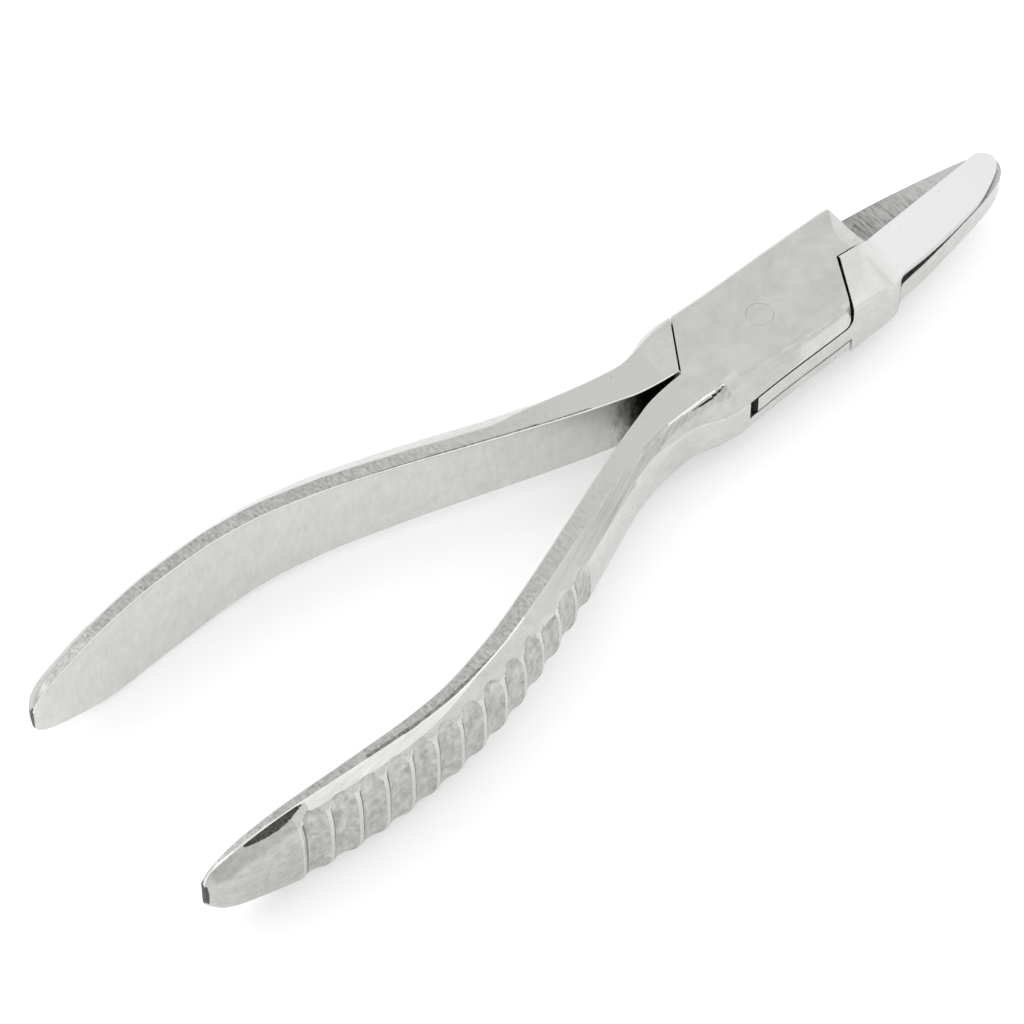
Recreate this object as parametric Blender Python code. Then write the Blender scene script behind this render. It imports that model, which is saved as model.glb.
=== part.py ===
"""Crimping pliers with a box joint: a slotted half, an inner half and a rivet pin.

Lengths in the tables are millimetres; objects are built in metres, +Z up.
The rivet axis is the Z axis, the underside of the box lies on z = 0, the jaws
point along +X and the inner half's handle lies on the +Y side.
Inside the tables z is measured from the middle of the box's thickness.
"""
import math
from bisect import bisect_right

import bmesh
import bpy

# ---- driving sizes (mm) ----------------------------------------------------
BOX_THICK = 9.5            # box, top face to underside
SLOT_HIGH = 3.5            # through-slot between the two plates
TONGUE_THICK = 2.9         # tongue that turns in the slot
TONGUE_REACH = 11.8        # radius of the tongue's ends about the rivet
WEB_RADIUS = 12.95         # slot ends are arcs about the rivet
GAP = 0.4                  # running gap between a plate's edge and a shoulder
PLATE_CORNER = 1.0         # rounding of the top plate's edges over the slot
PLATE_CLEARANCE = (SLOT_HIGH - TONGUE_THICK) / 2.0
RIVET_RADIUS = 1.9
RIVET_CLEARANCE = 0.2
RIVET_SIDES = 24
SHOULDER_END = 19.9        # inner half's jaw shoulder stops here
LOWER_JAW_START = 20.2     # slotted half's jaw starts here
PLATE_END = 19.7           # the box stops here above the lower jaw
LOWER_JAW_TOP = 0.3
FLUTE_COUNT = 13
FLUTE_FIRST = -47.0        # centre of the flute nearest the box
FLUTE_STEP = -4.25
FLUTE_DEPTH = 0.5
FLUTE_HALF_WIDE = 0.43     # as a part of the pitch
FLUTE_END = 1.9            # length of a flute's round end
SCOOP_DEPTH = 0.8          # hollow beside the slotted half's neck
BEVEL_SLOPE = 0.20         # fall of the top plate's bevelled end
HANDLE_LONGER = {True: 0.15, False: 0.9}       # inner half's and slotted half's handle ends
TIP_LIFT = {True: 1.0, False: 0.5}             # how far the handle ends rise underneath
TIP_FALL = {True: 0.6, False: 0.0}             # and how far they fall on top

HALF = BOX_THICK / 2.0
FAR = 14.0                 # well outside the box, for the cutting shapes
BEYOND = 60.0              # well past the jaw tips

# ---- how finely the outlines are sampled -------------------------------------
CORNER_STEPS = 2
EDGE_STEPS = (1, 1, 3, 2, 4, 1, 1, 1)       # flats after each rounded corner
FLUTE_CUTS = (0.5, 0.25, 0.0, -0.25)        # stations in a flute, as parts of the pitch

# ---- straight lines, as pairs of (x, y) -----------------------------------------
SLANT_LEFT = ((-14.5, 0.2), (-9.5, 7.2))       # plate edge beside the inner half's handle
SLANT_RIGHT = ((14.7, 0.2), (10.15, -7.2))     # plate edge beside the upper jaw
JAW_INNER_EDGE = ((19.7, -0.4), (44.6, 2.4))   # inner edge of the upper jaw

# ---- (x, value) tables that drive the outline of each half ----------------------
HANDLE_INNER = [(-112.4, 17.1), (-107, 17.3), (-100, 17.8), (-90, 18.5), (-82, 18.65),
                (-75, 18.2), (-65, 16.1), (-55, 12.9), (-45, 9.2), (-35, 5.45),
                (-28, 3.0), (-24.5, 1.9), (-21.3, 0.95), (-18, 0.45), (-14.9, 0.2)]
HANDLE_OUTER = [(-112.4, 17.75), (-112.2, 18.35), (-111.8, 18.95), (-111, 19.75), (-109, 20.5),
                (-104, 21.3), (-96, 22.3), (-86, 23.2), (-76, 23.15), (-66, 22.0),
                (-56, 19.2), (-46, 15.65), (-36, 11.6), (-30.6, 9.4), (-25.4, 7.8),
                (-22, 7.2), (-19.5, 7.0), (-18, 7.15), (-16, 7.75), (-14, 8.35),
                (-11.5, 8.65), (-8, 8.5), (-2, 8.3), (4, 8.25)]
HALF_HIGH = [(-112.4, 2.6), (-112.1, 3.2), (-111.4, 4.1), (-110, 5.1), (-107, 6.3),
             (-100, 7.75), (-90, 8.3), (-82, 8.1), (-75, 7.6), (-65, 6.95), (-55, 6.45),
             (-45, 5.95), (-35, 5.55), (-26, 5.2), (-20, 5.0), (-13, 4.75)]
BODY_PLUS = [(-15, 8.3), (4, 8.25), (12, 8.2), (18, 7.9), (19.8, 7.6), (20.7, 6.95),
             (25.5, 6.2), (29.4, 5.6), (34, 4.75), (38, 3.95), (41, 3.3), (43.5, 2.6), (44.8, 2.0),
             (45.5, 1.3), (45.9, 0.5)]
BODY_MINUS = [(-15, 8.3), (4, 8.25), (12, 8.1), (18, 7.75), (19.8, 7.4), (20.7, 7.0),
              (25.5, 6.45), (29.4, 5.9), (34, 5.15), (38, 4.45), (41, 3.8), (43.8, 2.8), (44.9, 2.05),
              (45.6, 1.2), (45.9, 0.5)]
UNDERSIDE = [(16.0, -4.75), (19.8, -4.7), (21.0, -4.5), (43.0, -4.3), (45.9, -3.5)]
LAND_INNER = [(-112.4, 0.6), (-108, 1.4), (-98, 1.9), (-84, 2.1), (-60, 2.4), (-40, 2.45)]
LAND_SLOTTED = [(-112.4, 0.5), (-108, 1.0), (-98, 1.35), (-84, 1.8), (-60, 2.5), (-40, 2.8)]
FLAT_SLOTTED = [(-40, 10.1), (-36.4, 8.9), (-31.7, 7.5), (-26.9, 6.2), (-21.5, 5.3),
                (-16.8, 5.1), (-9.8, 5.0), (-3.9, 5.7), (1.2, 6.6), (4, 7.1), (12, 7.1)]
FLAT_INNER = [(-40, 9.75), (-36, 9.1), (-30, 7.9), (-24, 6.7), (-20, 6.2), (-16, 6.8),
              (-12, 7.6), (-8, 7.7)]
DROP_SLOTTED = [(-112.4, 0.45), (-100, 0.30), (-70, 0.28), (-40, 0.34), (-28, 0.42), (-20, 0.50),
                (-12, 0.60), (-9.8, 0.62)]
DROP_INNER = [(-112.4, 0.45), (-100, 0.43), (-60, 0.43), (-40, 0.38), (-28, 0.33),
              (-20, 0.30), (-12, 0.25)]
SHOULDER_FLAT = [(10.4, -7.6), (14, -5.2), (15.7, -4.3), (17.2, -2.7), (18.1, -1.0),
                 (19.9, 0.65)]               # (x, y) where the shoulder starts to fall away
UPPER_INNER_Z = (4.4, 0.95)                  # upper jaw's top: along its inner edge
UPPER_OUTER_Z = (2.75, 0.78)                 # and along its outer edge, from root to tip
UPPER_UNDER_Z = [(SHOULDER_END, 2.2), (26.0, 1.35), (33.0, 0.75), (46.0, 0.6), (58.0, 0.55)]
END_BEVEL = [(-0.6, 17.6), (0.2, 17.3), (1.5, 17.18), (3.04, 17.48), (5.1, 18.53),
             (6.8, 19.7)]                    # (y, x) where the plate's end bevel begins


def curve(table, x):
    """Smooth value of a table at x, without overshoot between its points."""
    xs = [p[0] for p in table]
    ys = [p[1] for p in table]
    if x <= xs[0]:
        return ys[0]
    if x >= xs[-1]:
        return ys[-1]
    slopes = [(ys[i + 1] - ys[i]) / (xs[i + 1] - xs[i]) for i in range(len(xs) - 1)]

    def tangent(i):
        if i == 0:
            return slopes[0]
        if i == len(xs) - 1:
            return slopes[-1]
        a, b = slopes[i - 1], slopes[i]
        return 0.0 if a * b <= 0.0 else 2.0 * a * b / (a + b)

    i = bisect_right(xs, x) - 1
    h = xs[i + 1] - xs[i]
    t = (x - xs[i]) / h
    return (ys[i] * (1 + 2 * t) * (1 - t) ** 2 + tangent(i) * h * t * (1 - t) ** 2
            + ys[i + 1] * t * t * (3 - 2 * t) + tangent(i + 1) * h * t * t * (t - 1))


def step(a, b, x):
    """Smooth rise from 0 at a to 1 at b."""
    t = min(1.0, max(0.0, (x - a) / (b - a)))
    return t * t * (3.0 - 2.0 * t)


def flute_place(x, z, male):
    """Where a point lies in its finger flute: across (-1 to 1), and along its round end."""
    u = (x - FLUTE_FIRST) / FLUTE_STEP
    n = min(FLUTE_COUNT - 1, max(0, round(u)))
    reach = 0.66 if male else 0.85 + 0.05 * n / FLUTE_COUNT
    straight = curve(HALF_HIGH, x) * reach - FLUTE_END
    return (u - n) / FLUTE_HALF_WIDE, max(0.0, abs(z) - straight) / FLUTE_END


def flute(x, z, male):
    """Depth of the finger flutes: shallow valleys with round ends and narrow ridges."""
    across, along = flute_place(x, z, male)
    return FLUTE_DEPTH * max(0.0, 1.0 - across ** 2 - along ** 2) ** 0.6


def land_edge(x, male):
    """Where the flat top strip ends, as v."""
    if x < -40.0:
        return curve(HANDLE_INNER, x) + curve(LAND_INNER if male else LAND_SLOTTED, x)
    return curve(FLAT_INNER if male else FLAT_SLOTTED, x)


def section(x, male):
    """Rounded outline of a half at x, as (v, z); v grows toward its own handle."""
    end = step(-98.0, -109.0, x)
    bottom = curve(UNDERSIDE, x) if x > 13.0 else TIP_LIFT[male] * end - curve(HALF_HIGH, x)
    high = curve(HALF_HIGH, x) - TIP_FALL[male] * end
    own, far = (BODY_PLUS, BODY_MINUS) if male else (BODY_MINUS, BODY_PLUS)
    v1 = curve(HANDLE_OUTER, x) if x < 0.0 else curve(own, x)
    if x < -14.8:
        v0 = curve(HANDLE_INNER, x)
        inner = (0.15, 0.15, 0.1)
    else:
        v0 = -curve(far, x) if x > 4.0 else -curve(HANDLE_OUTER, x)
        inner = (0.3, 0.3, 0.25) if male else (0.95, 1.2, 0.5)
    handle = 1.0 - step(-34.0, -20.0, x)
    flat = land_edge(x, male)
    jaw = step(12.0, 20.5, x)
    if male:
        inner = tuple(a * (1.0 - jaw) + 0.1 * jaw for a in inner)
        v0 += 0.9 * step(37.0, 45.0, x)
    elif x > 13.0:
        inner = (0.95 - 0.45 * jaw, 1.2 + 0.4 * jaw, 0.5)
    drop = high * curve(DROP_INNER if male else DROP_SLOTTED, x)
    top = (v1 - flat, drop, 0.25 + 1.1 * step(-15.0, -9.0, x), 0.3 + 4.1 * handle)
    under = (handle * (v1 - flat) + (1 - handle) * 0.95, handle * drop + (1 - handle) * 1.2,
             0.4, 0.5 + 3.9 * handle)
    if x > 13.0:
        top = inner[:2] + (0.3, 0.3)
        under = (0.4, 1.05, 0.4, 0.4) if x > 20.0 else (0.95, 1.2, 0.4, 0.5)
    wide, tall = v1 - v0, high - bottom
    c0, d0, r0 = min(inner[0], 0.25 * wide), min(inner[1], 0.4 * tall), inner[2]
    c1, d1 = min(top[0], 0.7 * wide), min(top[1], 0.45 * tall)
    c2, d2 = min(under[0], 0.7 * wide), min(under[1], 0.45 * tall)
    return rounded([(v0 + c0, bottom, r0), (v1 - c2, bottom, under[2]),
                    (v1, bottom + d2, under[3]), (v1, high - d1, top[3]),
                    (v1 - c1, high, top[2]), (v0 + c0, high, r0),
                    (v0, high - d0, r0), (v0, bottom + d0, r0)])


def upper_top(x, y):
    """Height of the inner half's top over its jaw shoulder and upper jaw."""
    if x <= SHOULDER_END:
        fall = max(0.0, curve(SHOULDER_FLAT, x) - y)
        return HALF - 0.285 * fall * fall / (fall + 0.5)
    along = (x - SHOULDER_END) / (46.0 - SHOULDER_END)
    inner = UPPER_INNER_Z[0] + (UPPER_INNER_Z[1] - UPPER_INNER_Z[0]) * along
    outer = UPPER_OUTER_Z[0] + (UPPER_OUTER_Z[1] - UPPER_OUTER_Z[0]) * along
    (xa, ya), (xb, yb) = JAW_INNER_EDGE
    y_in = ya + (yb - ya) * (x - xa) / (xb - xa)
    y_out = -curve(BODY_MINUS, x)
    across = (y - y_out) / (y_in - y_out)
    return outer + (inner - outer) * min(1.3, max(-0.2, across))


def rounded(corners):
    """Polygon with each corner replaced by a short curve and each flat subdivided."""
    arcs = []
    count = len(corners)
    for i, (cv, cz, r) in enumerate(corners):
        ends = []
        for j in (i - 1, (i + 1) % count):
            dv, dz = corners[j][0] - cv, corners[j][1] - cz
            length = math.hypot(dv, dz)
            f = min(0.46, r / length)
            ends.append((cv + dv * f, cz + dz * f))
        bend = []
        for k in range(CORNER_STEPS + 1):
            t = k / CORNER_STEPS
            a, b, c = (1 - t) ** 2, 2 * t * (1 - t), t * t
            bend.append((a * ends[0][0] + b * cv + c * ends[1][0],
                         a * ends[0][1] + b * cz + c * ends[1][1]))
        arcs.append(bend)
    points = []
    for i, bend in enumerate(arcs):
        points += bend
        (va, za), (vb, zb) = bend[-1], arcs[(i + 1) % count][0]
        for k in range(1, EDGE_STEPS[i]):
            t = k / EDGE_STEPS[i]
            points.append((va + (vb - va) * t, za + (zb - za) * t))
    return points


def spaced(start, stop, gap):
    """Evenly spaced positions from start up to, not including, stop."""
    count = max(1, round((stop - start) / gap))
    return [start + (stop - start) * i / count for i in range(count)]


def stations():
    """Positions along X where the outline is sampled."""
    xs = spaced(-112.4, -110.8, 0.4) + spaced(-110.8, -100.4, 1.7)
    for n in reversed(range(FLUTE_COUNT)):
        centre = FLUTE_FIRST + n * FLUTE_STEP
        xs += [centre + FLUTE_STEP * u for u in FLUTE_CUTS]
    xs += spaced(-44.8, -36.0, 3.0) + spaced(-36.0, -15.2, 2.1) + [-15.1, -14.9]
    xs += spaced(-14.7, -8.0, 1.7) + spaced(-8.0, 12.0, 5.0) + spaced(12.0, 21.0, 0.9)
    xs += spaced(21.0, 40.0, 3.8) + spaced(40.0, 44.8, 1.2) + spaced(44.8, 45.9, 0.28) + [45.9]
    return xs


def shaped(x, v, z, male):
    """Fine shape that the outline alone doesn't give: flutes, scoop, shoulder and bevel."""
    outer = curve(HANDLE_OUTER, x)
    if x < -40.0 and v > 0.5 * (curve(HANDLE_INNER, x) + outer):
        v -= flute(x, z, male)
    if not male and -36.0 < x < -9.5 and z > 0.0:
        flat = curve(FLAT_SLOTTED, x)
        s = (v - flat) / (outer - flat)
        if s > 0.0:
            deep = SCOOP_DEPTH * step(-36.0, -19.0, x) * (1.0 - step(-15.0, -10.8, x))
            z -= deep * step(0.0, 0.12, s) * max(0.0, 1.0 - s) ** 1.4
    if male and x > 9.0 and z > 0.0:
        z *= upper_top(x, v) / HALF
    return v, z


def material(name, colour, rough):
    """Plain metal."""
    mat = bpy.data.materials.new(name)
    mat.use_nodes = True
    shader = mat.node_tree.nodes["Principled BSDF"]
    shader.inputs["Base Color"].default_value = (*colour, 1.0)
    shader.inputs["Metallic"].default_value = 1.0
    shader.inputs["Roughness"].default_value = rough
    return mat


def solid(name, rings, mat=None):
    """Closed object through a list of matching rings of (x, y, z) in mm."""
    bm = bmesh.new()
    loops = [[bm.verts.new((x * 0.001, y * 0.001, (z + HALF) * 0.001)) for x, y, z in ring]
             for ring in rings]
    for a, b in zip(loops, loops[1:]):
        for i in range(len(a)):
            j = (i + 1) % len(a)
            bm.faces.new((a[i], a[j], b[j], b[i]))
    bm.faces.new(loops[0])
    bm.faces.new(loops[-1])
    bmesh.ops.recalc_face_normals(bm, faces=bm.faces)
    mesh = bpy.data.meshes.new(name)
    bm.to_mesh(mesh)
    bm.free()
    if mat:
        mesh.materials.append(mat)
    obj = bpy.data.objects.new(name, mesh)
    bpy.context.scene.collection.objects.link(obj)
    return obj


def prism(name, outline, low, high):
    """Upright prism over an outline of (x, y)."""
    return solid(name, [[(x, y, z) for x, y in outline] for z in (low, high)])


def arc(radius, start, end, count=20):
    """Points on a circle about the rivet, angles in degrees."""
    return [(radius * math.cos(math.radians(start + (end - start) * i / count)),
             radius * math.sin(math.radians(start + (end - start) * i / count)))
            for i in range(count + 1)]


def slid(line, distance):
    """A straight line moved sideways, to the left of its direction."""
    (xa, ya), (xb, yb) = line
    length = math.hypot(xb - xa, yb - ya)
    nx, ny = -(yb - ya) / length * distance, (xb - xa) / length * distance
    return ((xa + nx, ya + ny), (xb + nx, yb + ny))


def at_y(line, y):
    """Where a straight line reaches the height y."""
    (xa, ya), (xb, yb) = line
    return (xa + (xb - xa) * (y - ya) / (yb - ya), y)


def forging(name, male, mat):
    """One half before its joint is cut: handle, box and jaw in one body."""
    side = 1.0 if male else -1.0
    rings = []
    for x in stations():
        longer = HANDLE_LONGER[male] * step(-90.0, -112.0, x)
        ring = []
        for v, z in section(x, male):
            v, z = shaped(x, v, z, male)
            ring.append((x - longer, side * v, z))
        rings.append(ring)
    return solid(name, rings, mat)


def cut(obj, cutter):
    """Take a cutter away from an object."""
    cutter.hide_render = True
    cutter.display_type = "WIRE"
    mod = obj.modifiers.new(cutter.name, "BOOLEAN")
    mod.operation = "DIFFERENCE"
    mod.solver = "EXACT"
    mod.object = cutter


def corner(z, low, radius):
    """How far the plate's edge stands back at height z, next to the slot."""
    d = radius - (z - low)
    return radius - math.sqrt(radius * radius - d * d) if 0.0 < d <= radius else 0.0


def levels(low, radius, end):
    """Heights at which a rounded plate edge is sampled, from the slot upward."""
    return [low + radius * (1.0 - math.cos(math.radians(a))) for a in (0, 30, 60, 90)] + [end]


def rivet_hole(name):
    """Cutter for the pin's running hole."""
    last = 360.0 - 360.0 / RIVET_SIDES
    return prism(name, arc(RIVET_RADIUS + RIVET_CLEARANCE, 0, last, RIVET_SIDES - 1), -9.0, 9.0)


def slotted_half(mat):
    """Handle, box with its through-slot, and the lower jaw."""
    half = forging("slotted_half", False, mat)
    low = SLOT_HIGH / 2
    left, right = [], []
    for z in [-9.0, low - 0.05] + levels(low, PLATE_CORNER, 9.0):
        inset = corner(z, low, PLATE_CORNER)
        line = slid(SLANT_LEFT, -inset)
        left.append([(x, y, z) for x, y in (at_y(line, FAR), at_y(line, 0.0), (-16.0, -0.15),
                                            (-30.0, -0.15), (-30.0, FAR))])
        line = slid(SLANT_RIGHT, -inset)
        right.append([(x, y, z) for x, y in (line[0], at_y(line, -FAR), (LOWER_JAW_START, -FAR),
                                             (LOWER_JAW_START, -0.3))])
    cut(half, solid("left_shoulder_space", left))
    cut(half, solid("right_shoulder_space", right))
    above = [(PLATE_END, -FAR), (BEYOND, -FAR), (BEYOND, FAR), (PLATE_END, FAR)]
    cut(half, prism("upper_jaw_space", above, LOWER_JAW_TOP, 9.0))
    slot = [(-15.5, -0.15), *arc(WEB_RADIUS, 180.7, 300.0, 24), (12.2, -11.0), (15.5, 0.1),
            *arc(WEB_RADIUS, 0.6, 120.0, 24), (-12.2, 11.0)]
    bevel = []
    for y in spaced(-0.6, 9.0, 0.8) + [9.0]:
        x = curve(END_BEVEL, y)
        bevel.append([(x, y, HALF), (x + 5.0, y, HALF - 5.0 * BEVEL_SLOPE), (x + 5.0, y, 9.0),
                      (x, y, 9.0)])
    cut(half, solid("end_bevel", bevel))
    cut(half, prism("through_slot", slot, -low, low))
    cut(half, rivet_hole("plate_rivet_hole"))
    return half


def inner_half(mat):
    """Handle, shoulder, tongue and the upper jaw."""
    half = forging("inner_half", True, mat)
    (xa, ya), (xb, yb) = JAW_INNER_EDGE
    slope = (yb - ya) / (xb - xa)
    web = [(SHOULDER_END, -0.45), (20.3, ya + slope * (20.3 - xa)),
           (BEYOND, ya + slope * (BEYOND - xa)), (BEYOND, FAR), (8.0, FAR)]
    web += arc(TONGUE_REACH, 50.0, 0.1, 16) + [(14.85, 0.0)]
    cut(half, prism("jaw_web_space", web, -12.0, 12.0))
    web = [(-16.0, 0.05), (-30.0, -0.2), (-30.0, -FAR), (-8.0, -FAR)]
    cut(half, prism("handle_web_space", web + arc(TONGUE_REACH, 230.0, 180.0, 16), -12.0, 12.0))
    low, radius = TONGUE_THICK / 2, PLATE_CORNER + PLATE_CLEARANCE
    plate = []
    for z in levels(low, radius, 11.0):
        inset = corner(z, low, radius)
        left, right = slid(SLANT_LEFT, GAP - inset), slid(SLANT_RIGHT, GAP - inset)
        outline = (at_y(left, FAR), left[0], (left[0][0] + 0.1, -3.0), (-12.5, -FAR),
                   at_y(right, -FAR), (right[0][0], ya + 0.1), (right[0][0] - 0.1, 3.0),
                   (12.5, FAR))
        plate.append([(x, y, z) for x, y in outline])
    cut(half, solid("top_plate_space", plate))
    bottom = [(x, y) for x, y, z in plate[-1]]
    cut(half, prism("bottom_plate_space", bottom, -11.0, -low))
    x0, x1 = UPPER_UNDER_Z[0][0], UPPER_UNDER_Z[-1][0]
    profile = [(x, curve(UPPER_UNDER_Z, x)) for x in spaced(x0, x1, 3.0) + [x1]]
    under = [[(x0, y, -10.0), *((x, y, z) for x, z in profile), (x1, y, -10.0)]
             for y in (-13.0, 13.0)]
    cut(half, solid("lower_jaw_space", under))
    cut(half, rivet_hole("tongue_rivet_hole"))
    return half


def rivet_pin(mat):
    """Pin peened flush with both faces of the box."""
    last = 360.0 - 360.0 / RIVET_SIDES
    rings = []
    for z, r in ((-HALF, RIVET_RADIUS - 0.15), (-HALF + 0.15, RIVET_RADIUS),
                 (HALF - 0.15, RIVET_RADIUS), (HALF, RIVET_RADIUS - 0.15)):
        rings.append([(x, y, z) for x, y in arc(r, 0, last, RIVET_SIDES - 1)])
    return solid("rivet_pin", rings, mat)


def main():
    for old in list(bpy.data.objects):
        bpy.data.objects.remove(old, do_unlink=True)
    slotted_half(material("slotted_half_steel", (0.62, 0.61, 0.59), 0.25))
    inner_half(material("inner_half_steel", (0.66, 0.66, 0.65), 0.22))
    rivet_pin(material("rivet_pin_steel", (0.58, 0.57, 0.55), 0.28))


main()
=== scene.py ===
"""Looks for the box-joint pliers: polished steel halves, studio floor, light and camera."""
import math
from bisect import bisect_right

import bmesh
import bpy
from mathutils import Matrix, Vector


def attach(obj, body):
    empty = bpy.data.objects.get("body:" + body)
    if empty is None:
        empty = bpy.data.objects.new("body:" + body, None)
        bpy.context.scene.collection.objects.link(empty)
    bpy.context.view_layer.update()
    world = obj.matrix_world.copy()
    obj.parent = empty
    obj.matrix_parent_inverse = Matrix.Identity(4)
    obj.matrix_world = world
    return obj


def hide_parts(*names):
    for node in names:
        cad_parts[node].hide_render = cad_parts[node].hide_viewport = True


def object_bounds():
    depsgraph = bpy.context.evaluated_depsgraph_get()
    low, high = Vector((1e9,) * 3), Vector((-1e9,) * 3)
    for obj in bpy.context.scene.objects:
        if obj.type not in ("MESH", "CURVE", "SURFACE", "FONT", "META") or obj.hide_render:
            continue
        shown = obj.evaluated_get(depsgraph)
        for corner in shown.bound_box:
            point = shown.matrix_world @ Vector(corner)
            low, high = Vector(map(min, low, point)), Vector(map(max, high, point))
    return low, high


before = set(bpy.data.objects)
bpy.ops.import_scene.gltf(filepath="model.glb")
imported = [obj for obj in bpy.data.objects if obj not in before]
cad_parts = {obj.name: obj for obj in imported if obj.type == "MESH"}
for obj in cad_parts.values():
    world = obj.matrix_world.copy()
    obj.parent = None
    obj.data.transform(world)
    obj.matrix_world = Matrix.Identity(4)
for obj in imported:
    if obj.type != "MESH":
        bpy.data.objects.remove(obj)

CAD_BOX = [list(corner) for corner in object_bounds()]

# ---- driving sizes (mm, z from the middle of the box) ------------------------
BOX_THICK = 9.5            # box, top face to underside
SLOT_HIGH = 3.5            # through-slot between the two plates
TONGUE_THICK = 2.9         # tongue that turns in the slot
TONGUE_REACH = 11.8        # radius of the tongue's ends about the rivet
WEB_RADIUS = 12.95         # slot ends are arcs about the rivet
PLATE_CORNER = 1.0         # rounding of the plate's corners over the slot
PLATE_END = 19.7           # the box stops here above the lower jaw
SHOULDER_END = 19.9        # inner half's jaw shoulder stops here
LOWER_JAW_TOP = 0.3
JAW_TIP = 46.0             # where the upper jaw's falling top is measured to
RIVET_RADIUS = 1.9
RIVET_END_RADIUS = 1.87    # inside the pin's small chamfer
RIVET_CHAMFER = 0.03
RIVET_SIDES = 96
FLUTE_COUNT = 13
FLUTE_FIRST = -47.0        # centre of the flute nearest the box
FLUTE_STEP = -4.25
FLUTE_DEPTH = 0.5
FLUTE_HALF_WIDE = 0.43     # as a part of the pitch
FLUTE_END = 1.9            # length of a flute's round end
SCOOP_DEPTH = 0.8          # hollow beside the slotted half's neck
BEVEL_REACH = 5.0          # length of the cutter for the plate's bevelled end
BEVEL_SLOPE = 0.20         # fall of that bevel
HANDLE_LONGER = {True: 0.15, False: 0.9}   # inner half's and slotted half's handle ends
TIP_LIFT = {True: 1.0, False: 0.5}         # how far the handle ends rise underneath
TIP_FALL = {True: 0.6, False: 0.0}         # and how far they fall on top

# these three are finer than the CAD's, for looks
GAP = 0.25                 # between a plate's edge and a shoulder
RIVET_CLEARANCE = 0.012
LOWER_JAW_START = 20.02

GRIP_START = -40.0         # the handles' own tables end here
NECK_END = -14.8           # the handle's inner face ends at the box
JAW_START = 13.0           # the jaws' own outline begins here
HALF = BOX_THICK / 2.0
FAR = 14.0                 # well outside the box, for the cutting shapes
BEYOND = 60.0              # well past the jaw tips
TALL = 9.0                 # well above and below the box
SHARP_ANGLE = 28.0         # degrees between faces that stay a crisp edge

# ---- how finely the visible meshes are sampled ------------------------------
CORNER_STEPS = 8
EDGE_STEPS = (4, 6, 18, 22, 22, 1, 8, 1)    # flats after each rounded corner

# ---- surroundings: even sky, then duller patches (towards, how narrow, gain) ---
SKY = 1.05
SKY_PATCHES = [((-0.7, -0.6, 0.4), 0.75, -0.18), ((0.2, -0.95, 0.15), 0.75, -0.12)]

# ---- view and where each flute is sampled --------------------------------------
CAMERA_AZIMUTH, CAMERA_ELEVATION = -42.256, 53.856
CAMERA_PLACE = (-0.30729, -0.28845, 0.53460)     # metres, from the middle of the box
CAMERA_LENS = 175.78
LAMP_TARGET = (-0.03, 0, 0)

# as fractions of the pitch, from the flute's far ridge
FLUTE_CUTS = (0.5, 0.445, 0.43, 0.40, 0.35, 0.27, 0.17, 0.06, -0.06, -0.17, -0.27, -0.35,
              -0.40, -0.43, -0.445)

# ---- straight lines, as pairs of (x, y) ----------------------------------------
SLANT_LEFT = ((-14.5, 0.2), (-9.5, 7.2))       # plate edge beside the inner half's handle
SLANT_RIGHT = ((14.7, 0.2), (10.15, -7.2))     # plate edge beside the upper jaw
JAW_INNER_EDGE = ((19.7, -0.4), (44.6, 2.4))   # inner edge of the upper jaw

# ---- (x, value) tables that drive the outline of each half ---------------------
HANDLE_INNER = [(-112.4, 17.1), (-107, 17.3), (-100, 17.8), (-90, 18.5), (-82, 18.65),
                (-75, 18.2), (-65, 16.1), (-55, 12.9), (-45, 9.2), (-35, 5.45),
                (-28, 3.0), (-24.5, 1.9), (-21.3, 0.95), (-18, 0.45), (-14.9, 0.2)]
HANDLE_OUTER = [(-112.4, 17.75), (-112.2, 18.35), (-111.8, 18.95), (-111, 19.75), (-109, 20.5),
                (-104, 21.3), (-96, 22.3), (-86, 23.2), (-76, 23.15), (-66, 22.0),
                (-56, 19.2), (-46, 15.65), (-36, 11.6), (-30.6, 9.4), (-25.4, 7.8),
                (-22, 7.2), (-19.5, 7.0), (-18, 7.15), (-16, 7.75), (-14, 8.35),
                (-11.5, 8.65), (-8, 8.5), (-2, 8.3), (4, 8.25)]
HALF_HIGH = [(-112.4, 2.6), (-112.1, 3.2), (-111.4, 4.1), (-110, 5.1), (-107, 6.3),
             (-100, 7.75), (-90, 8.3), (-82, 8.1), (-75, 7.6), (-65, 6.95), (-55, 6.45),
             (-45, 5.95), (-35, 5.55), (-26, 5.2), (-20, 5.0), (-13, 4.75)]
BODY_PLUS = [(-15, 8.3), (4, 8.25), (12, 8.2), (18, 7.9), (19.8, 7.6), (20.7, 6.95),
             (25.5, 6.2), (29.4, 5.6), (34, 4.75), (38, 3.95), (41, 3.3), (43.5, 2.6), (44.8, 2.0),
             (45.5, 1.3), (45.9, 0.5)]
BODY_MINUS = [(-15, 8.3), (4, 8.25), (12, 8.1), (18, 7.75), (19.8, 7.4), (20.7, 7.0),
              (25.5, 6.45), (29.4, 5.9), (34, 5.15), (38, 4.45), (41, 3.8), (43.8, 2.8),
              (44.9, 2.05), (45.6, 1.2), (45.9, 0.5)]
UNDERSIDE = [(16.0, -4.75), (19.8, -4.7), (21.0, -4.5), (43.0, -4.3), (45.9, -3.5)]
LAND_INNER = [(-112.4, 0.6), (-108, 1.4), (-98, 1.9), (-84, 2.1), (-60, 2.4), (-40, 2.45)]
LAND_SLOTTED = [(-112.4, 0.5), (-108, 1.0), (-98, 1.35), (-84, 1.8), (-60, 2.5), (-40, 2.8)]
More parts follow.
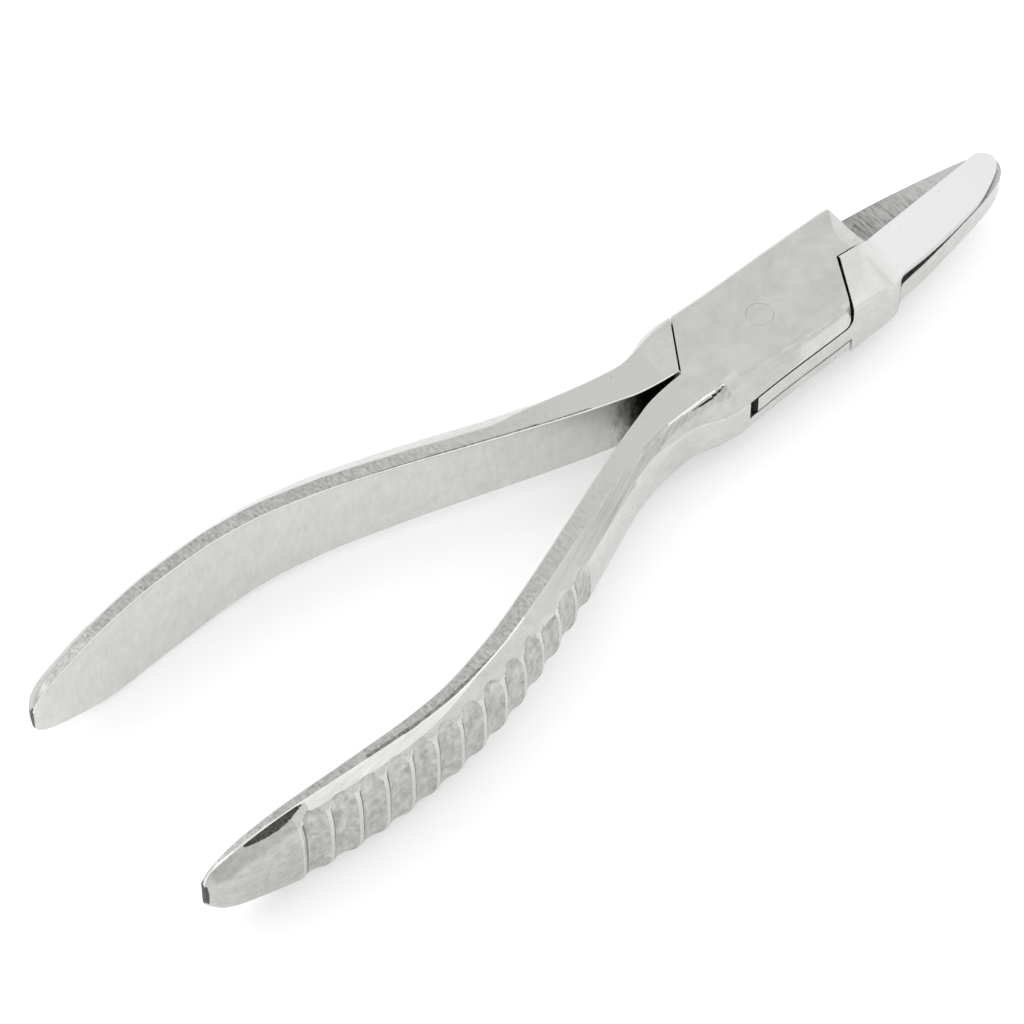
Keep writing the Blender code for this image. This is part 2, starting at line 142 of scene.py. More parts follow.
FLAT_SLOTTED = [(-40, 10.1), (-36.4, 8.9), (-31.7, 7.5), (-26.9, 6.2), (-21.5, 5.3),
                (-16.8, 5.1), (-9.8, 5.0), (-3.9, 5.7), (1.2, 6.6), (4, 7.1), (12, 7.1)]
FLAT_INNER = [(-40, 9.75), (-36, 9.1), (-30, 7.9), (-24, 6.7), (-20, 6.2), (-16, 6.8),
              (-12, 7.6), (-8, 7.7)]
DROP_SLOTTED = [(-112.4, 0.45), (-100, 0.30), (-70, 0.28), (-40, 0.34), (-28, 0.42), (-20, 0.50),
                (-12, 0.60), (-9.8, 0.62)]
DROP_INNER = [(-112.4, 0.45), (-100, 0.43), (-60, 0.43), (-40, 0.38), (-28, 0.33),
              (-20, 0.30), (-12, 0.25)]
SHOULDER_FLAT = [(10.4, -7.6), (14, -5.2), (15.7, -4.3), (17.2, -2.7), (18.1, -1.0),
                 (19.9, 0.65)]               # (x, y) where the shoulder starts to fall away
UPPER_INNER_Z = (4.4, 0.95)                  # upper jaw's top: along its inner edge
UPPER_OUTER_Z = (2.75, 0.78)                 # and along its outer edge, from root to tip
UPPER_UNDER_Z = [(SHOULDER_END, 2.2), (26.0, 1.35), (33.0, 0.75), (46.0, 0.6), (58.0, 0.55)]
END_BEVEL = [(-0.6, 17.6), (0.2, 17.3), (1.5, 17.18), (3.04, 17.48), (5.1, 18.53),
             (6.8, 19.7)]                    # (y, x) where the plate's end bevel begins


def curve(table, x):
    """Smooth value of a table at x, without overshoot between its points."""
    xs = [p[0] for p in table]
    ys = [p[1] for p in table]
    if x <= xs[0]:
        return ys[0]
    if x >= xs[-1]:
        return ys[-1]
    slopes = [(ys[i + 1] - ys[i]) / (xs[i + 1] - xs[i]) for i in range(len(xs) - 1)]

    def tangent(i):
        if i == 0:
            return slopes[0]
        if i == len(xs) - 1:
            return slopes[-1]
        a, b = slopes[i - 1], slopes[i]
        return 0.0 if a * b <= 0.0 else 2.0 * a * b / (a + b)

    i = bisect_right(xs, x) - 1
    h = xs[i + 1] - xs[i]
    t = (x - xs[i]) / h
    return (ys[i] * (1 + 2 * t) * (1 - t) ** 2 + tangent(i) * h * t * (1 - t) ** 2
            + ys[i + 1] * t * t * (3 - 2 * t) + tangent(i + 1) * h * t * t * (t - 1))


def step(a, b, x):
    """Smooth rise from 0 at a to 1 at b."""
    t = min(1.0, max(0.0, (x - a) / (b - a)))
    return t * t * (3.0 - 2.0 * t)


def flute_place(x, z, male):
    """Where a point lies in its finger flute: across (-1 to 1), and along its round end."""
    u = (x - FLUTE_FIRST) / FLUTE_STEP
    n = min(FLUTE_COUNT - 1, max(0, round(u)))
    reach = 0.66 if male else 0.85 + 0.05 * n / FLUTE_COUNT
    straight = curve(HALF_HIGH, x) * reach - FLUTE_END
    return (u - n) / FLUTE_HALF_WIDE, max(0.0, abs(z) - straight) / FLUTE_END


def flute(x, z, male):
    """Depth of the finger flutes: shallow valleys with round ends and narrow ridges."""
    across, along = flute_place(x, z, male)
    return FLUTE_DEPTH * max(0.0, 1.0 - across ** 2 - along ** 2) ** 0.6


def land_edge(x, male):
    """Where the flat top strip ends, as v."""
    if x < GRIP_START:
        return curve(HANDLE_INNER, x) + curve(LAND_INNER if male else LAND_SLOTTED, x)
    return curve(FLAT_INNER if male else FLAT_SLOTTED, x)


def section(x, male):
    """Rounded outline of a half at x, as (v, z); v grows toward its own handle."""
    end = step(-98.0, -109.0, x)
    bottom = curve(UNDERSIDE, x) if x > JAW_START else TIP_LIFT[male] * end - curve(HALF_HIGH, x)
    high = curve(HALF_HIGH, x) - TIP_FALL[male] * end
    own, far = (BODY_PLUS, BODY_MINUS) if male else (BODY_MINUS, BODY_PLUS)
    v1 = curve(HANDLE_OUTER, x) if x < 0.0 else curve(own, x)
    if x < NECK_END:
        v0 = curve(HANDLE_INNER, x)
        inner = (0.15, 0.15, 0.1)
    else:
        v0 = -curve(far, x) if x > 4.0 else -curve(HANDLE_OUTER, x)
        inner = (0.3, 0.3, 0.25) if male else (0.95, 1.2, 0.5)
    handle = 1.0 - step(-34.0, -20.0, x)
    flat = land_edge(x, male)
    jaw = step(12.0, 20.5, x)
    if male:
        inner = tuple(a * (1.0 - jaw) + 0.1 * jaw for a in inner)
        v0 += 0.9 * step(37.0, 45.0, x)
    elif x > JAW_START:
        inner = (0.95 - 0.45 * jaw, 1.2 + 0.4 * jaw, 0.5)
    drop = high * curve(DROP_INNER if male else DROP_SLOTTED, x)
    top = (v1 - flat, drop, 0.25 + 1.1 * step(-15.0, -9.0, x), 0.3 + 4.1 * handle)
    under = (handle * (v1 - flat) + (1 - handle) * 0.95, handle * drop + (1 - handle) * 1.2,
             0.4, 0.5 + 3.9 * handle)
    if x > JAW_START:
        top = inner[:2] + (0.3, 0.3)
        under = (0.4, 1.05, 0.4, 0.4) if x > 20.0 else (0.95, 1.2, 0.4, 0.5)
    wide, tall = v1 - v0, high - bottom
    c0, d0, r0 = min(inner[0], 0.25 * wide), min(inner[1], 0.4 * tall), inner[2]
    c1, d1 = min(top[0], 0.7 * wide), min(top[1], 0.45 * tall)
    c2, d2 = min(under[0], 0.7 * wide), min(under[1], 0.45 * tall)
    return rounded([(v0 + c0, bottom, r0), (v1 - c2, bottom, under[2]),
                    (v1, bottom + d2, under[3]), (v1, high - d1, top[3]),
                    (v1 - c1, high, top[2]), (v0 + c0, high, r0),
                    (v0, high - d0, r0), (v0, bottom + d0, r0)])


def upper_top(x, y):
    """Height of the inner half's top over its jaw shoulder and upper jaw."""
    if x <= SHOULDER_END:
        fall = max(0.0, curve(SHOULDER_FLAT, x) - y)
        return HALF - 0.285 * fall * fall / (fall + 0.5)
    along = (x - SHOULDER_END) / (JAW_TIP - SHOULDER_END)
    inner = UPPER_INNER_Z[0] + (UPPER_INNER_Z[1] - UPPER_INNER_Z[0]) * along
    outer = UPPER_OUTER_Z[0] + (UPPER_OUTER_Z[1] - UPPER_OUTER_Z[0]) * along
    (xa, ya), (xb, yb) = JAW_INNER_EDGE
    y_in = ya + (yb - ya) * (x - xa) / (xb - xa)
    y_out = -curve(BODY_MINUS, x)
    across = (y - y_out) / (y_in - y_out)
    return outer + (inner - outer) * min(1.3, max(-0.2, across))


def rounded(corners):
    """Polygon with each corner replaced by a short curve and each flat subdivided."""
    arcs = []
    count = len(corners)
    for i, (cv, cz, r) in enumerate(corners):
        ends = []
        for j in (i - 1, (i + 1) % count):
            dv, dz = corners[j][0] - cv, corners[j][1] - cz
            length = math.hypot(dv, dz)
            f = min(0.46, r / length)
            ends.append((cv + dv * f, cz + dz * f))
        bend = []
        for k in range(CORNER_STEPS + 1):
            t = k / CORNER_STEPS
            a, b, c = (1 - t) ** 2, 2 * t * (1 - t), t * t
            bend.append((a * ends[0][0] + b * cv + c * ends[1][0],
                         a * ends[0][1] + b * cz + c * ends[1][1]))
        arcs.append(bend)
    points = []
    for i, bend in enumerate(arcs):
        points += bend
        (va, za), (vb, zb) = bend[-1], arcs[(i + 1) % count][0]
        for k in range(1, EDGE_STEPS[i]):
            t = k / EDGE_STEPS[i]
            points.append((va + (vb - va) * t, za + (zb - za) * t))
    return points


def spaced(start, stop, gap):
    """Evenly spaced positions from start up to, not including, stop."""
    count = max(1, round((stop - start) / gap))
    return [start + (stop - start) * i / count for i in range(count)]


def stations():
    """Positions along X where the outline is sampled."""
    xs = spaced(-112.4, -110.8, 0.1) + spaced(-110.8, -100.4, 0.25)
    for n in reversed(range(FLUTE_COUNT)):
        centre = FLUTE_FIRST + n * FLUTE_STEP
        xs += [centre + FLUTE_STEP * u for u in FLUTE_CUTS]
    xs += spaced(-44.8, -36.0, 1.0) + spaced(-36.0, -15.2, 0.4) + [-15.1, -14.9]
    xs += spaced(-14.7, -8.0, 0.35) + spaced(-8.0, 12.0, 1.0) + spaced(12.0, 21.0, 0.35)
    xs += spaced(21.0, 40.0, 0.9) + spaced(40.0, 44.8, 0.4) + spaced(44.8, 45.9, 0.11) + [45.9]
    return xs


def shaped(x, v, z, male):
    """Fine shape that the outline alone doesn't give: flutes, scoop, shoulder and bevel."""
    outer = curve(HANDLE_OUTER, x)
    if x < GRIP_START and v > 0.5 * (curve(HANDLE_INNER, x) + outer):
        v -= flute(x, z, male)
    if not male and -36.0 < x < -9.5 and z > 0.0:
        flat = curve(FLAT_SLOTTED, x)
        s = (v - flat) / (outer - flat)
        if s > 0.0:
            deep = SCOOP_DEPTH * step(-36.0, -19.0, x) * (1.0 - step(-15.0, -10.8, x))
            z -= deep * step(0.0, 0.12, s) * max(0.0, 1.0 - s) ** 1.4
    if male and x > 9.0 and z > 0.0:
        z *= upper_top(x, v) / HALF
    return v, z


def solid(name, rings):
    """Closed object through a list of matching rings of (x, y, z) in mm."""
    bm = bmesh.new()
    loops = [[bm.verts.new((x * 0.001, y * 0.001, (z + HALF) * 0.001)) for x, y, z in ring]
             for ring in rings]
    for a, b in zip(loops, loops[1:]):
        for i in range(len(a)):
            j = (i + 1) % len(a)
            bm.faces.new((a[i], a[j], b[j], b[i]))
    bm.faces.new(loops[0])
    bm.faces.new(loops[-1])
    bmesh.ops.recalc_face_normals(bm, faces=bm.faces)
    mesh = bpy.data.meshes.new(name)
    bm.to_mesh(mesh)
    bm.free()
    obj = bpy.data.objects.new(name, mesh)
    bpy.context.scene.collection.objects.link(obj)
    return obj


def prism(name, outline, low, high):
    """Upright prism over an outline of (x, y)."""
    return solid(name, [[(x, y, z) for x, y in outline] for z in (low, high)])


def arc(radius, start, end, count=20):
    """Points on a circle about the rivet, angles in degrees."""
    return [(radius * math.cos(math.radians(start + (end - start) * i / count)),
             radius * math.sin(math.radians(start + (end - start) * i / count)))
            for i in range(count + 1)]


def rivet_outline(radius):
    """Circle for the pin and for the holes it sits in."""
    return arc(radius, 0, 360.0 - 360.0 / RIVET_SIDES, RIVET_SIDES - 1)


def rivet_hole(name):
    """Cutter for the pin's hole, right through the tool."""
    return prism(name, rivet_outline(RIVET_RADIUS + RIVET_CLEARANCE), -TALL, TALL)


def slid(line, distance):
    """A straight line moved sideways, to the left of its direction."""
    (xa, ya), (xb, yb) = line
    length = math.hypot(xb - xa, yb - ya)
    nx, ny = -(yb - ya) / length * distance, (xb - xa) / length * distance
    return ((xa + nx, ya + ny), (xb + nx, yb + ny))


def at_y(line, y):
    """Where a straight line reaches the height y."""
    (xa, ya), (xb, yb) = line
    return (xa + (xb - xa) * (y - ya) / (yb - ya), y)


def forging(name, male):
    """One half before its joint is carved out: handle, box and jaw in one body."""
    side = 1.0 if male else -1.0
    rings = []
    for x in stations():
        longer = HANDLE_LONGER[male] * step(-90.0, -112.0, x)
        ring = []
        for v, z in section(x, male):
            v, z = shaped(x, v, z, male)
            ring.append((x - longer, side * v, z))
        rings.append(ring)
    return solid(name, rings)


def carved(obj, cutters):
    """The object with every cutter taken away, as one clean mesh."""
    for cutter in cutters:
        mod = obj.modifiers.new(cutter.name, "BOOLEAN")
        mod.operation = "DIFFERENCE"
        mod.solver = "EXACT"
        mod.object = cutter
    graph = bpy.context.evaluated_depsgraph_get()
    mesh = bpy.data.meshes.new_from_object(obj.evaluated_get(graph))
    obj.modifiers.clear()
    obj.data = mesh
    for cutter in cutters:
        bpy.data.objects.remove(cutter, do_unlink=True)
    return obj


def corner(z, low, radius):
    """How far the plate's edge stands back at height z, next to the slot."""
    d = radius - (z - low)
    return radius - math.sqrt(radius * radius - d * d) if 0.0 < d <= radius else 0.0


def levels(low, radius, end):
    """Heights at which a rounded plate edge is sampled, from the slot upward."""
    return [low + radius * (1.0 - math.cos(math.radians(a))) for a in range(0, 91, 9)] + [end]


def slotted_half():
    """Handle, box with its through-slot, and the lower jaw."""
    left, right = [], []
    for z in [-TALL, SLOT_HIGH / 2 - 0.05] + levels(SLOT_HIGH / 2, PLATE_CORNER, TALL):
        inset = corner(z, SLOT_HIGH / 2, PLATE_CORNER)
        line = slid(SLANT_LEFT, -inset)
        left.append([(x, y, z) for x, y in (at_y(line, FAR), at_y(line, 0.0), (-16.0, -0.15),
                                            (-30.0, -0.15), (-30.0, FAR))])
        line = slid(SLANT_RIGHT, -inset)
        right.append([(x, y, z) for x, y in (line[0], at_y(line, -FAR), (LOWER_JAW_START, -FAR),
                                             (LOWER_JAW_START, -0.3))])
    above = [(PLATE_END, -FAR), (BEYOND, -FAR), (BEYOND, FAR), (PLATE_END, FAR)]
    slot = [(-15.5, -0.15), *arc(WEB_RADIUS, 180.7, 300.0, 48), (12.2, -11.0), (15.5, 0.1),
            *arc(WEB_RADIUS, 0.6, 120.0, 48), (-12.2, 11.0)]
    bevel = []
    for y in spaced(-0.6, 9.0, 0.2) + [9.0]:
        x = curve(END_BEVEL, y)
        far = x + BEVEL_REACH
        bevel.append([(x, y, HALF), (far, y, HALF - BEVEL_REACH * BEVEL_SLOPE), (far, y, TALL),
                      (x, y, TALL)])
    return carved(forging("slotted_half_body", False), [
        solid("left_shoulder_space", left),
        solid("right_shoulder_space", right),
        prism("upper_jaw_space", above, LOWER_JAW_TOP, TALL),
        solid("end_bevel", bevel),
        prism("through_slot", slot, -SLOT_HIGH / 2, SLOT_HIGH / 2),
        rivet_hole("plate_rivet_hole")])


def inner_half():
    """Handle, shoulder, tongue and the upper jaw."""
    (xa, ya), (xb, yb) = JAW_INNER_EDGE
    slope = (yb - ya) / (xb - xa)
    jaw_web = [(SHOULDER_END, -0.45), (20.3, ya + slope * (20.3 - xa)),
               (BEYOND, ya + slope * (BEYOND - xa)), (BEYOND, FAR), (8.0, FAR)]
    jaw_web += arc(TONGUE_REACH, 50.0, 0.1, 48) + [(14.85, 0.0)]
    handle_web = [(-16.0, 0.05), (-30.0, -0.2), (-30.0, -FAR), (-8.0, -FAR)]
    handle_web += arc(TONGUE_REACH, 230.0, 180.0, 48)
    low, radius = TONGUE_THICK / 2, PLATE_CORNER + 0.3
    plate = []
    for z in levels(low, radius, 11.0):
        inset = corner(z, low, radius)
        left, right = slid(SLANT_LEFT, GAP - inset), slid(SLANT_RIGHT, GAP - inset)
        outline = (at_y(left, FAR), left[0], (left[0][0] + 0.1, -3.0), (-12.5, -FAR),
                   at_y(right, -FAR), (right[0][0], ya + 0.1), (right[0][0] - 0.1, 3.0),
                   (12.5, FAR))
        plate.append([(x, y, z) for x, y in outline])
    bottom = [(x, y) for x, y, z in plate[-1]]
    x0, x1 = UPPER_UNDER_Z[0][0], UPPER_UNDER_Z[-1][0]
    profile = [(x, curve(UPPER_UNDER_Z, x)) for x in spaced(x0, x1, 1.0) + [x1]]
    under = [[(x0, y, -10.0), *((x, y, z) for x, z in profile), (x1, y, -10.0)]
             for y in (-13.0, 13.0)]
    return carved(forging("inner_half_body", True), [
        prism("jaw_web_space", jaw_web, -12.0, 12.0),
        prism("handle_web_space", handle_web, -12.0, 12.0),
        solid("top_plate_space", plate),
        prism("bottom_plate_space", bottom, -11.0, -TONGUE_THICK / 2),
        solid("lower_jaw_space", under),
        rivet_hole("tongue_rivet_hole")])


def rivet_pin():
    """Pin peened flush with both faces of the box."""
    rings = []
    for z, r in ((-HALF, RIVET_END_RADIUS), (-HALF + RIVET_CHAMFER, RIVET_RADIUS),
                 (HALF - RIVET_CHAMFER, RIVET_RADIUS), (HALF, RIVET_END_RADIUS)):
        rings.append([(x, y, z) for x, y in rivet_outline(r)])
    return solid("rivet_pin_body", rings)


# ---- materials ----------------------------------------------------------------

def node(tree, kind, inputs=None, **settings):
    """Add a shader node, set its fields, and link or set its inputs."""
    made = tree.nodes.new(kind)
    for key, value in settings.items():
        setattr(made, key, value)
    for key, value in (inputs or {}).items():
        if isinstance(value, bpy.types.NodeSocket):
            tree.links.new(value, made.inputs[key])
        else:
            made.inputs[key].default_value = value
    return made


def steel(name, tone, rough, grain, grain_amount, mottle, pits=0.0, bump=0.02, fade=None,
          turn=0.0, cloud_size=190.0):
    """Metal with a directional grain, cloudy mottling and small pits.

    fade is (colour, direction, where it starts along it, where it is full, how ragged)."""
    mat = bpy.data.materials.new(name)
    mat.use_nodes = True
    tree = mat.node_tree
    shader = tree.nodes["Principled BSDF"]
    place = node(tree, "ShaderNodeTexCoord").outputs["Object"]
    turned = node(tree, "ShaderNodeVectorRotate", {"Vector": place, "Angle": math.radians(-turn)},
                  rotation_type="Z_AXIS")
    lay = node(tree, "ShaderNodeMapping", {"Vector": turned.outputs[0], "Scale": grain})
    fine = node(tree, "ShaderNodeTexNoise", {"Vector": lay.outputs[0], "Scale": 1.0,
                                            "Detail": 3.0, "Roughness": 0.6})
    cloud = node(tree, "ShaderNodeTexNoise", {"Vector": place, "Scale": cloud_size, "Detail": 6.0,
                                             "Roughness": 0.65, "Distortion": 0.3})
    spots = node(tree, "ShaderNodeTexNoise", {"Vector": place, "Scale": 1900.0, "Detail": 3.0})
    mix = node(tree, "ShaderNodeMath", {0: fine.outputs["Fac"], 1: grain_amount},
               operation="MULTIPLY")
    both = node(tree, "ShaderNodeMath", {0: cloud.outputs["Fac"], 1: mottle,
                                        2: mix.outputs[0]}, operation="MULTIPLY_ADD")
    span = grain_amount + mottle
    dark = tuple(c * (1.0 - 0.9 * span) for c in tone)
    light = tuple(min(1.0, c * (1.0 + 0.9 * span)) for c in tone)
    ramp = node(tree, "ShaderNodeMapRange", {"Value": both.outputs[0], "From Min": 0.25 * span,
                                            "From Max": 0.75 * span})
    tint = node(tree, "ShaderNodeMix", {0: ramp.outputs[0], 6: (*dark, 1.0), 7: (*light, 1.0)},
                data_type="RGBA")
    if fade:
        colour, direction, start, stop, rag = fade
        rag *= stop - start
        along = node(tree, "ShaderNodeVectorMath", {0: place, 1: direction},
                     operation="DOT_PRODUCT")
        ragged = node(tree, "ShaderNodeMath", {0: fine.outputs["Fac"], 1: rag,
                                              2: along.outputs["Value"]},
                      operation="MULTIPLY_ADD")
        near = node(tree, "ShaderNodeMapRange", {"Value": ragged.outputs[0],
                                                "From Min": start + rag / 2,
                                                "From Max": stop + rag / 2})
        tint = node(tree, "ShaderNodeMix", {0: near.outputs[0], 6: tint.outputs[2],
                                            7: (*colour, 1.0)}, data_type="RGBA")
    pit = node(tree, "ShaderNodeMapRange", {"Value": spots.outputs["Fac"], "From Min": 0.70,
                                           "From Max": 0.78, "To Max": pits})
    spotted = node(tree, "ShaderNodeMix", {0: pit.outputs[0], 6: tint.outputs[2],
                                          7: (0.12, 0.11, 0.10, 1.0)}, data_type="RGBA")
    tree.links.new(spotted.outputs[2], shader.inputs["Base Color"])
    shader.inputs["Metallic"].default_value = 1.0
    gloss = node(tree, "ShaderNodeMapRange", {"Value": ramp.outputs[0], "To Min": rough * 0.9,
                                             "To Max": rough * 1.1})
    tree.links.new(gloss.outputs[0], shader.inputs["Roughness"])
    edge = node(tree, "ShaderNodeBevel", {"Radius": 0.00016}, samples=6)
    relief = node(tree, "ShaderNodeBump", {"Height": both.outputs[0], "Strength": bump,
                                          "Distance": 0.001, "Normal": edge.outputs[0]})
    tree.links.new(relief.outputs[0], shader.inputs["Normal"])
    return mat


def looks():
    """Every metal finish on the tool, with the colours of the painted shade, highlights and dark
    reflections.
    """
    plain = (0.54, 0.535, 0.51)
    # colour of the painted shade in the crotch, where the two handles meet
    crotch_painted_shade = (0.06, 0.058, 0.056)
    return {
        "side": steel("steel_side", (0.60, 0.597, 0.585), 0.27, (350, 1500, 1800), 0.06, 0.10,
                      pits=0.45, bump=0.02, cloud_size=420),
        "shoulder": steel("steel_shoulder", (0.65, 0.645, 0.625), 0.26, (700, 1500, 700), 0.03,
                          0.06, pits=0.5, bump=0.015, cloud_size=300,
                          fade=((0.705, 0.705, 0.71), (1, -0.15, 0), 0.0188, 0.0216, 0.0)),
        "plate": steel("steel_plate", plain, 0.34, (500, 1100, 500), 0.03, 0.13, pits=0.35,
                       cloud_size=260),
        "land": steel("steel_land", (0.43, 0.427, 0.415), 0.38, (2600, 900, 900), 0.30, 0.34,
                      pits=0.85, bump=0.05, fade=(plain, (1, 0, 0), -0.060, -0.030, 0.6),
                      cloud_size=2400),
        "burr": steel("steel_burr", (0.24, 0.235, 0.23), 0.42, (2200, 2200, 900), 0.80, 0.30,
                      pits=0.9, bump=0.3),
        # inner handle face; its fade to near black towards x = -0.0206 is painted shade in the
        # crotch
        "inner": steel("steel_inner_with_crotch_painted_shade", (0.65, 0.647, 0.635), 0.32, (1500, 900, 500), 0.07, 0.08,
                       pits=0.5, bump=0.015, cloud_size=420,
                       fade=(crotch_painted_shade, (1, 0, 0), -0.0256, -0.0206, 1.6)),
        # painted highlight along the handles' bevels and edges
        "painted_highlight": steel("steel_painted_highlight", (0.80, 0.80, 0.79), 0.20, (90, 1500, 1500), 0.10, 0.06,
                        pits=0.25, turn=8.0),
        "flute": steel("steel_flute", (0.46, 0.455, 0.44), 0.33, (900, 700, 400), 0.24, 0.38,
                       pits=1.0, bump=0.06, cloud_size=760),
        # painted shade along each flute's rear wall
        "flute_wall_painted_shade": steel("steel_flute_wall_painted_shade", (0.25, 0.245, 0.24), 0.40, (900, 900, 400),
                            0.50, 0.30, pits=0.6, bump=0.1),
        "end": steel("steel_end", (0.485, 0.48, 0.465), 0.30, (600, 1500, 1500), 0.14, 0.16,
                     pits=0.7, bump=0.03, cloud_size=760),
        "scoop": steel("steel_scoop", (0.49, 0.487, 0.475), 0.28, (60, 3200, 1400), 0.28, 0.08,
                       pits=0.3, bump=0.03, turn=24.0,
                       fade=((0.59, 0.587, 0.575), (1, 0, 0), -0.038, -0.054, 0.6)),
        # ground, unpolished top of the lower jaw; its darkening towards the root, under the upper
        # jaw, is painted shade fading lighter towards the tip
        "ground_with_painted_shade": steel("steel_ground_with_painted_shade", (0.25, 0.25, 0.24), 0.45, (3200, 500, 500), 0.60, 0.25,
                        pits=0.9, bump=0.25, cloud_size=1500,
                        fade=((0.52, 0.517, 0.51), (1, 0.35, 0), 0.021, 0.038, 1.6)),
        # near black: painted shade on the handles' end faces, and a painted dark reflection in a
        # lens near the slotted half's handle end
        "tip": steel("steel_tip_painted_shade_and_reflection", (0.085, 0.083, 0.08), 0.5, (2500, 2500, 2500), 0.7, 0.3,
                     pits=0.3, bump=0.3),
        # near black: painted shade inside the slot, and a painted dark reflection in a wedge
        # beside the neck's scoop
        "painted_black_shade_and_reflection": steel("steel_painted_black_shade_and_reflection", (0.03, 0.029, 0.028), 0.6, (900, 900, 900), 0.2, 0.2),
    }


def handle_finish(x, v, z, normal, across, male):
    """Finish of a face on a handle, with its painted shade, highlights and dark reflections;
    across is the normal's part along v.
    """
    high = curve(HALF_HIGH, x)
    edge = land_edge(x, male)
    # the handle's end face is painted dark: painted shade
    if x < -112.0 and normal.x < -0.9:
        return "tip"
    if across < -0.9:
        return "inner"
    # painted highlight on the upper bevel beside the inner face
    if z > 0.5 * high and across < -0.25:
        return "painted_highlight"
    if normal.z > 0.9 and v < edge - 0.1 and z > 0.0:
        depth = v - curve(HANDLE_INNER, x)
        if male and -76.0 < x < -28.0 and depth < 0.35 * step(-76.0, -40.0, x) + 0.1:
            return "burr"
        if not male and -88.0 < x < -60.0 and v > edge - 0.6 * step(-60.0, -72.0, x):
            return "burr"
        return "land" if x < -17.0 else "plate"
    if male and x < -101.0:
        return "end"
    if not male and z > 0.0:
        # painted highlight along the slotted half's land edge
        if x < -58.0 and abs(v - edge) < 0.1:
            return "painted_highlight"
        # painted dark reflection: a lens across the top near the slotted half's handle end
        t = (x + 102.8) / 4.5
        if abs(t) < 1.0 and z > high * (0.99 - 0.09 * (1.0 - t * t)) and v > edge:
            return "tip"
        # painted highlight over the slotted half's upper side
        if -98.0 < x < -66.0 and z > high * (1.0 - 0.13 * step(-66.0, -84.0, x)):
            return "painted_highlight"
        if -56.0 < x and z > 0.70 * high:
            return scoop_finish(x, (v - edge) / (curve(HANDLE_OUTER, x) - edge))
    if x < -100.6:
        return "end"
    if x < -44.0:
        return flute_finish(x, z, male)
    return "side"


def flute_finish(x, z, male):
    """Dull valleys, a painted shade line along each valley's rear wall, and lighter ridges."""
    across, along = flute_place(x, z, male)
    rim = across ** 2 + along ** 2
    if rim > 1.0:
        return "side"
    # painted shade along the valley's rear wall
    return "flute_wall_painted_shade" if across > 0.84 else "flute"


def scoop_finish(x, s):
    """Finish beside the neck's top strip, with a painted dark reflection and a painted highlight;
    s runs from that strip to the outer side.
    """
    along = (-11.4 - x) / 7.0
    # painted dark reflection: a near-black wedge in the scoop
    if 0.0 < along < 1.0 and 0.10 < s < 0.10 + 0.34 * along * (1.0 - along):
        return "painted_black_shade_and_reflection"
    # painted highlight along the scoop's edge
    return "painted_highlight" if -22.0 < x < -11.4 and 0.02 < s < 0.07 else "scoop"


def finish_for(centre, normal, male):
    """Which finish a face has, from where it is and where it points; inside the slot it gets
    painted shade.
    """
    x, y, z = centre.x * 1000.0, centre.y * 1000.0, centre.z * 1000.0 - HALF
    side = 1.0 if male else -1.0
    beside_scoop = not male and x < -11.4 and z > 1.0 and -y > land_edge(x, male)
    if x < -15.5 or beside_scoop:
        return handle_finish(x, side * y, z, normal, side * normal.y, male)
    outside = abs(y) > 7.8 and abs(normal.y) > 0.9
    # inside the slot the faces get near-black painted shade
    if abs(z) < SLOT_HIGH / 2 + 0.01 and math.hypot(x, y) < WEB_RADIUS + 0.02 and not outside:
        return "side" if z < -1.7 and normal.z > 0.9 else "painted_black_shade_and_reflection"
    if x > SHOULDER_END + 0.02:
        if male and normal.z > 0.5:
            return "shoulder"
        # lower jaw's top: ground finish with painted shade towards its root
        if not male and normal.z > 0.9 and abs(z - LOWER_JAW_TOP) < 0.05:
            return "ground_with_painted_shade"
        return "side"
    if male and x > 9.0:
        return "shoulder" if normal.z > 0.4 else "side"
    if not male and x > 16.0 and 0.9 < normal.z < 0.995 and z > 0.0:
        return "side"
    return "plate" if normal.z > (0.8 if -9.0 < x < 9.0 else 0.96) else "side"


def dress(obj, male, kit):
    """Give each face its finish and shade the mesh."""
    names = list(kit)
    obj.data.materials.clear()
    for name in names:
        obj.data.materials.append(kit[name])
    for face in obj.data.polygons:
        face.material_index = names.index(finish_for(face.center, face.normal, male))
    obj.data.shade_smooth()
    obj.data.set_sharp_from_angle(angle=math.radians(SHARP_ANGLE))


def floor():
    """Plain pale floor."""
    mesh = bpy.data.meshes.new("floor")
    low = CAD_BOX[0][2] - 0.0002
    mesh.from_pydata([(-3, -3, low), (3, -3, low), (3, 3, low), (-3, 3, low)], [],
                     [(0, 1, 2, 3)])
    obj = bpy.data.objects.new("floor", mesh)
    bpy.context.scene.collection.objects.link(obj)
    mat = bpy.data.materials.new("floor_white")
    mat.use_nodes = True
    shader = mat.node_tree.nodes["Principled BSDF"]
    shader.inputs["Base Color"].default_value = (0.92, 0.92, 0.92, 1.0)
    shader.inputs["Roughness"].default_value = 0.9
    shader.inputs["Specular IOR Level"].default_value = 0.0
    shader.inputs["Emission Color"].default_value = (1.0, 1.0, 1.0, 1.0)
    shader.inputs["Emission Strength"].default_value = 0.22
    mesh.materials.append(mat)


def lamp(name, place, target, size, power):
    """Soft square light aimed at a point."""
    data = bpy.data.lights.new(name, "AREA")
    data.shape = "SQUARE"
    data.size = size
    data.energy = power
    obj = bpy.data.objects.new(name, data)
    obj.location = place
    aim = Vector(target) - Vector(place)
    obj.rotation_euler = aim.to_track_quat("-Z", "Y").to_euler()
    bpy.context.scene.collection.objects.link(obj)


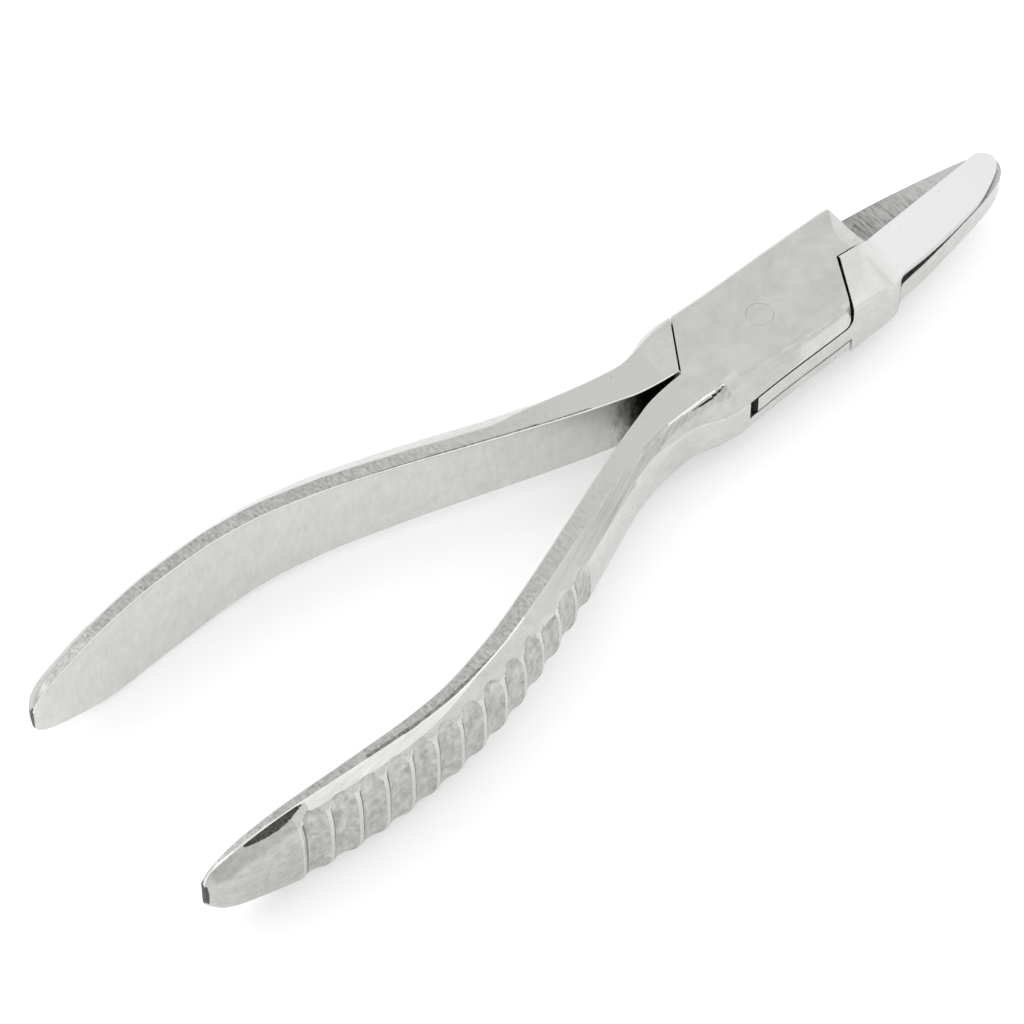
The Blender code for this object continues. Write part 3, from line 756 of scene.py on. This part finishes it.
def studio():
    """Pale surroundings with a duller patch on two sides, and two soft lights."""
    world = bpy.data.worlds.new("studio")
    world.use_nodes = True
    tree = world.node_tree
    way = node(tree, "ShaderNodeTexCoord").outputs["Generated"]
    glow = SKY
    for direction, narrow, gain in SKY_PATCHES:
        unit = Vector(direction).normalized()
        near = node(tree, "ShaderNodeVectorMath", {0: way, 1: unit}, operation="DOT_PRODUCT")
        patch = node(tree, "ShaderNodeMapRange", {"Value": near.outputs["Value"],
                                                 "From Min": narrow, "From Max": 1.0,
                                                 "To Max": gain},
                     interpolation_type="SMOOTHERSTEP")
        total = node(tree, "ShaderNodeMath", {0: glow, 1: patch.outputs[0]}, operation="ADD")
        glow = total.outputs[0]
    background = tree.nodes["Background"]
    background.inputs["Color"].default_value = (1.0, 1.0, 1.0, 1.0)
    tree.links.new(glow, background.inputs["Strength"])
    bpy.context.scene.world = world
    lamp("key", (-0.6, 0.7, 1.0), LAMP_TARGET, 0.8, 1.5)
    lamp("fill", (1.0, 0.1, 0.9), LAMP_TARGET, 0.9, 0.35)


def camera():
    """Long-lens camera above and to one side of the jaws."""
    azimuth, elevation = math.radians(CAMERA_AZIMUTH), math.radians(CAMERA_ELEVATION)
    data = bpy.data.cameras.new("camera")
    data.lens = CAMERA_LENS
    data.sensor_width = 36.0
    obj = bpy.data.objects.new("camera", data)
    x, y, z = CAMERA_PLACE
    obj.location = (x, y, z + HALF * 0.001)
    obj.rotation_euler = (math.pi / 2 - elevation, 0.0, azimuth)
    bpy.context.scene.collection.objects.link(obj)
    bpy.context.scene.camera = obj


def main():
    bpy.context.scene.view_settings.view_transform = "Standard"
    camera()
    studio()
    floor()
    kit = looks()
    for build, male, cad in ((slotted_half, False, "slotted_half"),
                             (inner_half, True, "inner_half")):
        piece = build()
        dress(piece, male, kit)
        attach(piece, cad)
        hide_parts(cad)
    pin = rivet_pin()
    pin.data.materials.append(kit["plate"])
    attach(pin, "slotted_half")
    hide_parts("rivet_pin")


main()
